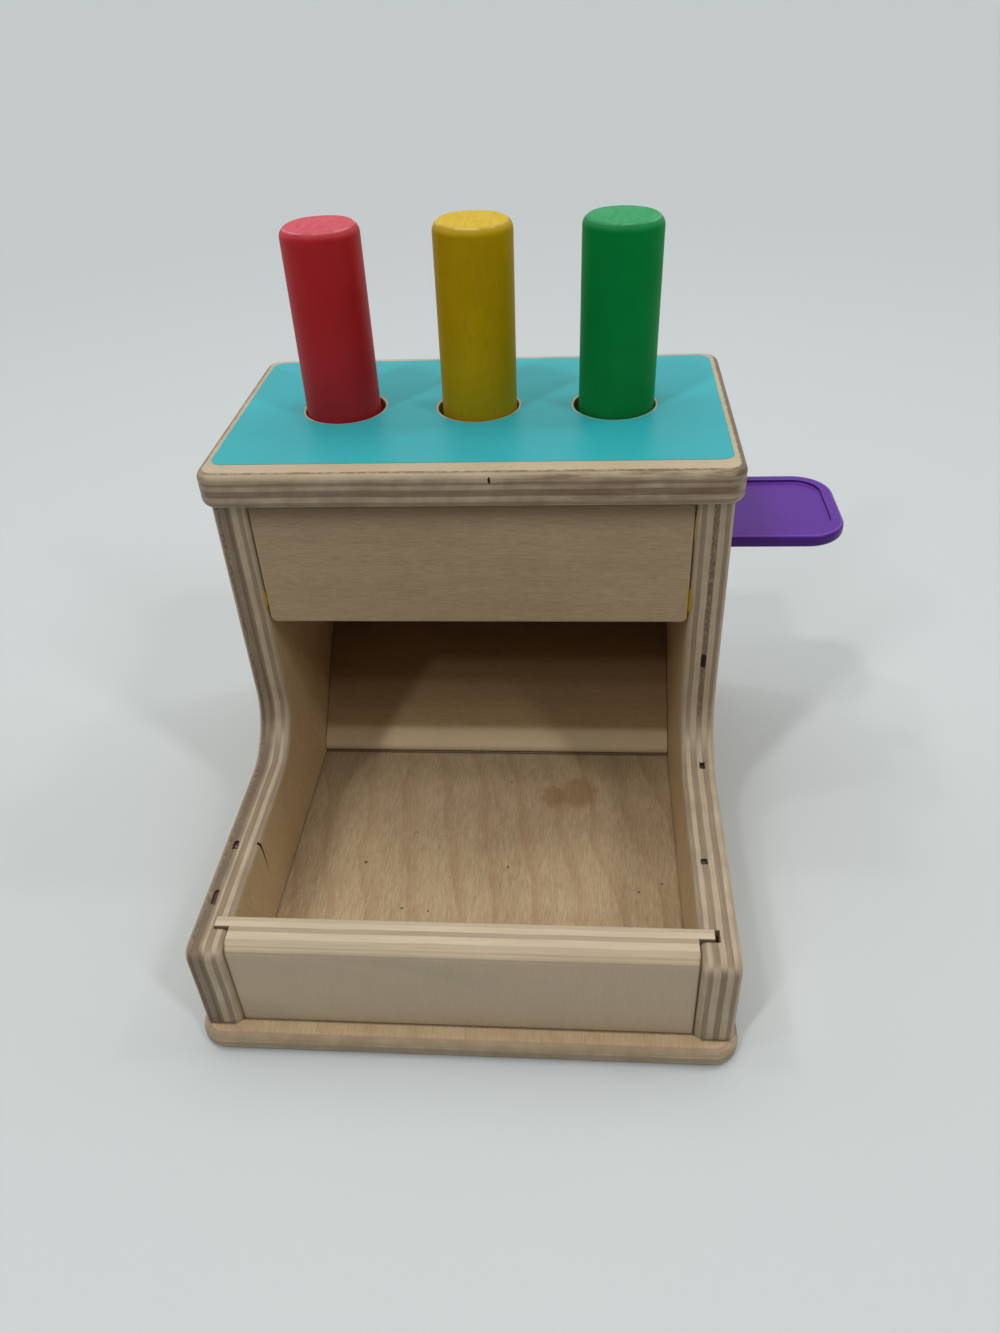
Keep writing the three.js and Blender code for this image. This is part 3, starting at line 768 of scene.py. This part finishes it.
birch_base = plywood(
    "birch_base", (0, 0, 0), Z, Y, BASE_PLIES, base_high.z, ("CBB38F", "967E5D"), seed=1,
    figure=0.25, slant=-0.2, grime_and_shade=0.85, marks=floor_marks, rim=(0.3, 0.6),
)
birch_left = plywood(
    "birch_left", left_high, -X, Z, SIDE_PLIES, PANEL, ("D2B88E", "B89C74"), seed=2,
    figure=0.08, spacing=15, slant=0.1, dashes=0.1, grime_and_shade=0.35, marks=left_marks,
)
birch_right = plywood(
    "birch_right", right_low, X, Z, SIDE_PLIES, PANEL, ("D2B88E", "B89C74"), seed=3,
    figure=0.08, slant=0.1, dashes=0.1, grime_and_shade=0.35, marks=right_marks,
)
birch_deck = plywood(
    "birch_deck", deck_high, -Z, X, DECK_PLIES, PANEL, ("C8B698", "B6A386"), seed=4,
    figure=0.06, dashes=0.15, grime_and_shade=0.52, marks=deck_marks,
)
birch_fascia = plywood(
    "birch_fascia", fascia_low, Y, X, FASCIA_PLIES, PANEL, ("B8A080", "937D60"), seed=5,
    figure=0.06, spacing=17, dashes=0.3, marks=fascia_marks,
)
birch_lip = plywood(
    "birch_lip", lip_high, -Y, Z, LIP_PLIES, PANEL, ("BEAB90", "B5A288"), seed=6,
    figure=0, spacing=22, dashes=0.03, grime_and_shade=0, marks=lip_marks,
)
birch_back = plywood(
    "birch_back", back_high, -Y, X, THIN_PLIES, back_high.y - back_low.y, ("C2AC8C", "A89274"),
    seed=7, figure=0.08, spacing=24,
)
off_ramp = Vector((0, -math.sin(RAMP_ANGLE), math.cos(RAMP_ANGLE)))
ramp_edge = Vector((0, ramp_low.y, ramp_low.z + RAMP_TOE))
birch_ramp = plywood(
    "birch_ramp", ramp_edge, -off_ramp, X, THIN_PLIES, RAMP_THICK, ("BC9F78", "A48863"), seed=8,
    figure=0.06, spacing=15, marks=ramp_marks, gloss=0.08,
)
core_void = void_wood("core_void")
seam_glue = dried_glue("seam_glue")
turquoise = satin_paint("turquoise_paint")
purple = moulded_plastic("purple_plastic")
batten_wood = plain_wood("batten_wood", "D6B98E", "B5946A", X)
dowel_wood = plain_wood("dowel_wood", "D6B98E", "B5946A", Z)
screw_zinc = zinc_steel("screw_zinc")


# Pieces

def screw_profile(low, high):
    """Half outline of the clearance round a screw between two levels."""
    head, shank, tip = SCREW_HEAD_SOCKET / 2, SCREW_SOCKET / 2, high + GLUE_GAP
    return [
        (0, -OVERCUT),
        (head, -OVERCUT),
        (head, low + GLUE_GAP),
        (shank, low + SCREW_NECK),
        (shank, tip - SCREW_POINT),
        (0, tip),
    ]


def sockets_for(low, high):
    """The screw and dowel sockets that reach into a board with this box."""

    def covers(point):
        return low.x < point.x < high.x and low.y < point.y < high.y

    tools = []
    for node in SCREWS:
        bottom, top = span(node)
        middle = (bottom + top) / 2
        if covers(middle):
            tools.append(turned(screw_profile(bottom.z, top.z), (middle.x, middle.y, 0)))
    for node in DOWELS:
        bottom, top = span(node)
        middle = (bottom + top) / 2
        if covers(middle) and high.z > bottom.z:
            foot = (middle.x, middle.y, bottom.z - GLUE_GAP)
            head = (middle.x, middle.y, top.z + GLUE_GAP)
            tools.append(rod(DOWEL_SOCKET, foot, head, DOWEL_SIDES))
    return tools


base = thing("birch_base_board", board(
    rectangle(base_low.x, base_low.y, base_high.x, base_high.y, BASE_CORNER), base_high.z, BASE_ROUND,
), birch_base)
carve(base, sockets_for(base_low, base_high), birch_base)
fit(base, "box", "base_plate")


def side_panel(name, low, high, finish, inner, voids, tools, node):
    """Side panel with a groove for the lip's tongue, other cuts and voids. Inner is the x of the
    face towards the tray."""
    corners = [
        (low.y, low.z, 0),
        (high.y, low.z, 0),
        (high.y, high.z, 0),
        (TOWER_Y, high.z, 0),
        (TOWER_Y, WALL_TOP, NECK_RADIUS),
        (low.y, WALL_TOP, TOE_RADIUS),
    ]
    bm = board(corners, PANEL, PANEL_ROUND, (low.z, high.z))
    panel = thing(name, stand(bm, Y, Z, X, (low.x, 0, 0)), finish)
    outward = math.copysign(1, inner)
    reach = lip_high.x - abs(inner) + (TONGUE_PLAY if outward > 0 else GLUE_GAP)
    edge = inner + outward * reach
    mouth = inner - outward * OVERCUT
    groove_low = (min(mouth, edge), lip_high.y - TONGUE_THICK - GLUE_GAP, low.z - OVERCUT)
    groove_high = (max(mouth, edge), lip_high.y + GLUE_GAP, high.z)
    carve(panel, [block(groove_low, groove_high), *tools, *sockets_for(low, high)], finish)
    carve(panel, voids, core_void)
    fit(panel, "box", node, FINE_ARRIS)


# Faults in the wood: place and size of each gap in a core ply, of a splinter in the first one and
# of a nick in the deck, and the outline of the split in the left wall
LEFT_VOIDS = (
    ((-75.7, -49.5, WALL_TOP), (1.8, 3.6, 2)),
    ((-76.1, -70.8, WALL_TOP), (1.5, 5.5, 1.6)),
)
RIGHT_VOIDS = (
    ((74.6, TOWER_Y, 75), (1.7, 2.4, 5.4)),
    ((75.5, -9.9, 41.1), (1.8, 2.6, 2.4)),
    ((72.4, -52.4, WALL_TOP), (2, 2.2, 1.8)),
)
SPLINTER = ((-75.5, -49.9, WALL_TOP - 0.5), (0.7, 0.9, 0.8))
NICK = ((7.2, deck_low.y + 0.1, 142.6), (0.8, 1.4, 2.2))
SPLIT = (
    (-48.9, WALL_TOP + OVERCUT, 0), (-47.7, WALL_TOP + OVERCUT, 0), (-46.8, 36.5, 0), (-46.4, 31, 0),
    (-46.5, 23.2, 0), (-46.9, 31, 0), (-47.6, 36.5, 0),
)
SPLIT_DEPTH = 0.8

split = stand(board(SPLIT, 2 * SPLIT_DEPTH), Y, Z, X, (left_high.x - SPLIT_DEPTH, 0, 0))
side_panel(
    "birch_left_panel", left_low, left_high, birch_left, left_high.x,
    [*(core_gap(at, size) for at, size in LEFT_VOIDS), split], [], "left_side_panel",
)
splinter = thing("core_splinter", pebble(*SPLINTER), birch_left)
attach(splinter, "box")
slot_half = GATE_HALF + GATE_CLEARANCE
passage = block(
    (right_low.x - OVERCUT, ROW_Y - slot_half, gate_low.z - GATE_CLEARANCE),
    (right_high.x + OVERCUT, ROW_Y + slot_half, gate_high.z + GATE_CLEARANCE),
)
side_panel(
    "birch_right_panel", right_low, right_high, birch_right, right_low.x,
    [core_gap(at, size) for at, size in RIGHT_VOIDS], [passage], "right_side_panel",
)

deck = thing("birch_deck_board", stand(board(
    rectangle(deck_low.x, deck_low.y, deck_high.x, deck_high.y, DECK_CORNER), PANEL, DECK_ROUND,
), X, Y, Z, (0, 0, deck_low.z)), birch_deck)
bore = HOLE_DIAMETER / 2
ease_arc = [
    (bore + HOLE_EASE - HOLE_EASE * math.cos(a), deck_high.z - HOLE_EASE + HOLE_EASE * math.sin(a))
    for a in (math.pi / 2 * i / EASE_STEPS for i in range(EASE_STEPS + 1))
]
bore_profile = [
    (0, deck_low.z - OVERCUT),
    (bore, deck_low.z - OVERCUT),
    *ease_arc,
    (bore + HOLE_EASE, deck_high.z + OVERCUT),
    (0, deck_high.z + OVERCUT),
]
bores = [turned(bore_profile, (x, ROW_Y, 0)) for x in HOLE_XS]
carve(deck, bores + sockets_for(deck_low, deck_high), birch_deck)
carve(deck, [pebble(*NICK)], core_void)
fit(deck, "box", "top_deck")

field = sheet(rectangle(paint_low.x, paint_low.y, paint_high.x, paint_high.y, PAINT_CORNER))
long_edges = [edge for edge in field.edges if edge.calc_length() > 2 * PAINT_CORNER]
bmesh.ops.subdivide_edges(field, edges=long_edges, cuts=PAINT_EDGE_CUTS)
for vert in field.verts:
    wobble = PAINT_WAVER * noise.noise(vert.co * 0.35)
    vert.co.x += wobble
    vert.co.y -= wobble
raise_faces(field, PAINT_FILM)
coat = thing("turquoise_field", stand(field, X, Y, Z, (0, 0, paint_low.z)), turquoise)
opening = HOLE_DIAMETER + 2 * (HOLE_EASE + BARE_RING)
carve(coat, [
    rod(opening, (x, ROW_Y, paint_low.z - OVERCUT), (x, ROW_Y, paint_high.z + OVERCUT))
    for x in HOLE_XS
], turquoise)
fit(coat, "box", "deck_paint")

front = thing("birch_fascia_board", stand(board(
    [(fascia_low.x, fascia_low.z, FASCIA_CORNER), (fascia_high.x, fascia_low.z, FASCIA_CORNER),
     (fascia_high.x, fascia_high.z, 0), (fascia_low.x, fascia_high.z, 0)], PANEL, ARRIS,
), X, Z, -Y, (0, fascia_high.y, 0)), birch_fascia)
fit(front, "box", "fascia")

rear = thing("birch_back_board", stand(board(
    rectangle(back_low.x, back_low.z, back_high.x, back_high.z), back_high.y - back_low.y, ARRIS,
), X, Z, -Y, (0, back_high.y, 0)), birch_back)
fit(rear, "box", "back_panel")

lip = thing("birch_tray_lip", stand(board([
    (lip_low.y, lip_low.z, 0), (lip_high.y, lip_low.z, 0), (lip_high.y, lip_high.z, ARRIS),
    (lip_low.y, lip_high.z, LIP_ROUND),
], lip_high.x - lip_low.x), Y, Z, X, (lip_low.x, 0, 0)), birch_lip)
past = Vector((OVERCUT, OVERCUT, OVERCUT))
notch_low, notch_high = lip_low - past, lip_high + past
notch_high.y = lip_high.y - TONGUE_THICK
carve(lip, [
    block(notch_low, (-SHOULDER, notch_high.y, notch_high.z)),
    block((SHOULDER, notch_low.y, notch_low.z), notch_high),
    *sockets_for(Vector((-SHOULDER, *lip_low.yz)), Vector((SHOULDER, *lip_high.yz))),
], birch_lip)
fit(lip, "box", "tray_lip", FINE_ARRIS)

slope = math.tan(RAMP_ANGLE)
under = ramp_high.z - RAMP_THICK / math.cos(RAMP_ANGLE)
ramp = thing("birch_ramp_board", stand(board([
    (ramp_low.y, ramp_low.z, 2 * ARRIS),
    (ramp_high.y - (under - ramp_low.z) / slope, ramp_low.z, 0),
    (ramp_high.y, under, 0),
    (ramp_high.y, ramp_low.z + RAMP_TOE + (ramp_high.y - ramp_low.y) * slope, ARRIS),
    (ramp_low.y, ramp_low.z + RAMP_TOE, ARRIS),
], ramp_high.x - ramp_low.x), Y, Z, X, (ramp_low.x, 0, 0)), birch_ramp)
fit(ramp, "box", "ramp_board", FINE_ARRIS)

lug_end = gate_low.x + LUG_LENGTH
gate = thing("purple_pull_gate", stand(board([
    (gate_low.x, gate_low.y, 0), (lug_end, gate_low.y, 0), (lug_end, ROW_Y - GATE_HALF, 0),
    (gate_high.x, ROW_Y - GATE_HALF, TAB_CORNER), (gate_high.x, ROW_Y + GATE_HALF, TAB_CORNER),
    (lug_end, ROW_Y + GATE_HALF, 0), (lug_end, gate_high.y, 0), (gate_low.x, gate_high.y, 0),
], gate_high.z - gate_low.z, GATE_ROUND), X, Y, Z, (0, 0, gate_low.z)), purple)
pan = board(rectangle(
    right_low.x, ROW_Y - GATE_HALF + TAB_RIM, gate_high.x - TAB_RIM, ROW_Y + GATE_HALF - TAB_RIM,
    TAB_CORNER - TAB_RIM,
), 2 * PAN_DEPTH, PAN_ROUND)
drop_xs = [x - HOLE_PITCH / 2 for x in HOLE_XS]
cut_low, cut_high = gate_low.z - OVERCUT, gate_high.z + OVERCUT
fork = block(
    (gate_low.x - OVERCUT, ROW_Y - GATE_HOLE / 2, cut_low),
    (drop_xs[0], ROW_Y + GATE_HOLE / 2, cut_high),
)
carve(gate, [
    stand(pan, X, Y, Z, (0, 0, gate_high.z - PAN_DEPTH)),
    *(rod(GATE_HOLE, (x, ROW_Y, cut_low), (x, ROW_Y, cut_high)) for x in drop_xs),
    fork,
], purple)
fit(gate, "gate", "gate", FINE_ARRIS)


def peg_profile():
    """Half outline of a peg. Its round breaks off sharply at the flat ends."""
    half, radius = PEG_LENGTH / 2, PEG_DIAMETER / 2
    bow = PEG_EASE / (1 - math.sin(PEG_BREAK))
    angles = [PEG_BREAK + (math.pi / 2 - PEG_BREAK) * i / RIM_STEPS for i in range(RIM_STEPS + 1)]
    end = [
        (radius - bow * (1 - math.sin(a)), half - bow * (math.cos(PEG_BREAK) - math.cos(a)))
        for a in angles
    ]
    return [(0, half), *end, *((r, -z) for r, z in reversed(end)), (0, -half)]


def peg(colour, dye, seed):
    """Dowel peg with hand-sanded ends, standing along its joint's axis."""
    node, body = f"peg_{colour}", f"{colour}_peg"
    low, high = span(node)
    middle = (low + high) / 2
    axis = next(Vector(joint["axis"]) for joint in frame["joints"] if joint["child"] == body)
    bm = turned(peg_profile(), (0, 0, 0))
    for vert in bm.verts:
        near_end = 1 - (PEG_LENGTH / 2 - abs(vert.co.z)) / PEG_SANDED_END
        if near_end > 0:
            bump = noise.noise(vert.co * 0.2 + Vector((9 * seed, 0, 0)))
            waver = PEG_WAVER * near_end * bump
            vert.co *= Vector((1 + waver, 1 + waver, 1))
    turn = Z.rotation_difference(axis).to_matrix().to_4x4()
    bmesh.ops.transform(bm, matrix=Matrix.Translation(middle) @ turn, verts=bm.verts)
    made = thing(f"{colour}_dowel_peg", bm, dyed_wood(f"{colour}_dye", *dye, middle, seed))
    fit(made, body, node)


# Dyes: body, shadow, end, and rubbed and painted highlight tones, strength of the pores, gloss
DYES = {
    "red": ("B51C23", "A6141B", "CE5965", "EC9AA2", 0.15, 0.16),
    "yellow": ("BB9500", "A98700", "D8B946", "F0DB86", 0.3, 0.05),
    "green": ("00863C", "007833", "48A06A", "7CC297", 0.06, 0.05),
}
for seed, (colour, dye) in enumerate(DYES.items(), 1):
    peg(colour, dye, seed)

# Glue that was left in the seams beside the fascia
BEADS = {
    "left_glue_bead": ((-69, 4.9, 98.6), (1.8, 1.5, 7)),
    "right_glue_bead": ((69, 4.9, 98), (2, 1.7, 11)),
    "upper_glue_bead": ((68.8, 5.2, 124), (1, 1, 12)),
}
for name, (at, size) in BEADS.items():
    bead = thing(name, pebble(at, size), seam_glue)
    bead.data.shade_smooth()
    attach(bead, "box")

# The CAD solids that stay, with their finishes
for node in ("front_runner", "rear_runner"):
    frame["nodes"][node].material_slots[0].material = batten_wood
for node in DOWELS:
    frame["nodes"][node].material_slots[0].material = dowel_wood
for node in SCREWS:
    frame["nodes"][node].material_slots[0].material = screw_zinc

# Stage: a matt floor, in metres, whose colour darkens a little with distance as painted shade

FLOOR_RADIUS, FLOOR_SIDES, FLOOR_DROP = 12, 64, 0.0002
floor_paint, spot, _ = start("pale_floor")
# Painted shade: the floor's colour darkens from 250 mm to 1 m out
pale = spot.far((0, 0, 0)).rise(250, 1000).between(tone("CBD0D0"), tone("C1C6C7"))
matt = spot.node(
    "BsdfPrincipled", None, {"Base Color": pale, "Roughness": 0.6, "Specular IOR Level": 0},
)
spot.node("OutputMaterial", None, {"Surface": matt})
ground = bmesh.new()
bmesh.ops.create_circle(ground, cap_ends=True, segments=FLOOR_SIDES, radius=FLOOR_RADIUS)
bmesh.ops.translate(ground, vec=(0, 0, -FLOOR_DROP), verts=ground.verts)
ground_mesh = bpy.data.meshes.new("floor")
ground.to_mesh(ground_mesh)
ground.free()
ground_mesh.materials.append(floor_paint)
floor = bpy.data.objects.new("floor", ground_mesh)
bpy.context.scene.collection.objects.link(floor)

# Light: azimuth to the right of the front, elevation, share of the light on level ground, angle
LAMPS = {
    "left_lamp": (-38, 60, 0.095, 4),
    "left_low_lamp_1": (-38, 53, 0.025, 4),
    "left_low_lamp_2": (-38, 46, 0.027, 4),
    "left_low_lamp_3": (-38, 39, 0.035, 4),
    "left_wide_lamp": (-71, 61, 0.045, 4),
    "left_rear_lamp": (-107, 63, 0.045, 4),
    "right_lamp": (55, 52, 0.065, 5),
    "right_low_lamp_1": (54, 45, 0.03, 5),
    "right_low_lamp_2": (53, 38, 0.03, 5),
    "right_rear_lamp": (110, 53, 0.045, 5),
    "ceiling": (180, 80, 0.4, 66),
    "rear_lamp": (180, 50, 0.06, 60),
    "left_side_lamp": (-118, 28, 0.042, 40),
    "right_side_lamp": (118, 28, 0.058, 40),
}
for name, (azimuth, elevation, share, angle) in LAMPS.items():
    around, above = math.radians(azimuth), math.radians(elevation)
    towards = Vector((
        math.sin(around) * math.cos(above), -math.cos(around) * math.cos(above), math.sin(above),
    ))
    lamp = bpy.data.lights.new(name, "SUN")
    lamp.energy = share * math.pi / towards.z
    lamp.angle = math.radians(angle)
    holder = bpy.data.objects.new(name, lamp)
    holder.rotation_mode = "QUATERNION"
    holder.rotation_quaternion = towards.to_track_quat("Z", "Y")
    bpy.context.scene.collection.objects.link(holder)

# Sky: dim as a light, and as bright as the far floor where it is seen or mirrored
SKY_LIGHT = 0.04
BACKDROP = 0.594
SKY_COLOUR = (0.933, 0.99, 1.0, 1)
world = bpy.data.worlds.new("studio")
world.use_nodes = True
world.node_tree.nodes.clear()
sky = Signal(world.node_tree)
seen = sky.node("LightPath", output="Is Camera Ray")
mirrored = sky.node("LightPath", output="Is Glossy Ray")
refracted = sky.node("LightPath", output="Is Transmission Ray")
brightness = seen.larger(mirrored).larger(refracted) * (BACKDROP - SKY_LIGHT) + SKY_LIGHT
dome = sky.node("Background", None, {"Color": SKY_COLOUR, "Strength": brightness})
sky.node("OutputWorld", None, {"Surface": dome})
bpy.context.scene.world = world
bpy.context.scene.view_settings.view_transform = "Standard"

# Camera, from the photograph's straight edges
FOCAL_PIXELS = 1009.2
IMAGE_HEIGHT = 1333
SENSOR = 36
EYE = Vector((0.0352, -0.26666, 0.2768))
PITCH, YAW, ROLL = (math.radians(a) for a in (36.924, -5.924, -3.243))
forward = Vector((
    math.sin(YAW) * math.cos(PITCH), math.cos(YAW) * math.cos(PITCH), -math.sin(PITCH),
))
level_right = forward.cross(Z).normalized()
level_up = level_right.cross(forward)
right = math.cos(ROLL) * level_right + math.sin(ROLL) * level_up
up = math.cos(ROLL) * level_up - math.sin(ROLL) * level_right
lens = bpy.data.cameras.new("camera")
lens.sensor_width = SENSOR
lens.lens = FOCAL_PIXELS * SENSOR / IMAGE_HEIGHT
lens.clip_start = 0.01
camera = bpy.data.objects.new("camera", lens)
camera.rotation_mode = "QUATERNION"
camera.location = EYE
camera.rotation_quaternion = Matrix((right, up, -forward)).transposed().to_quaternion()
bpy.context.scene.collection.objects.link(camera)
bpy.context.scene.camera = camera
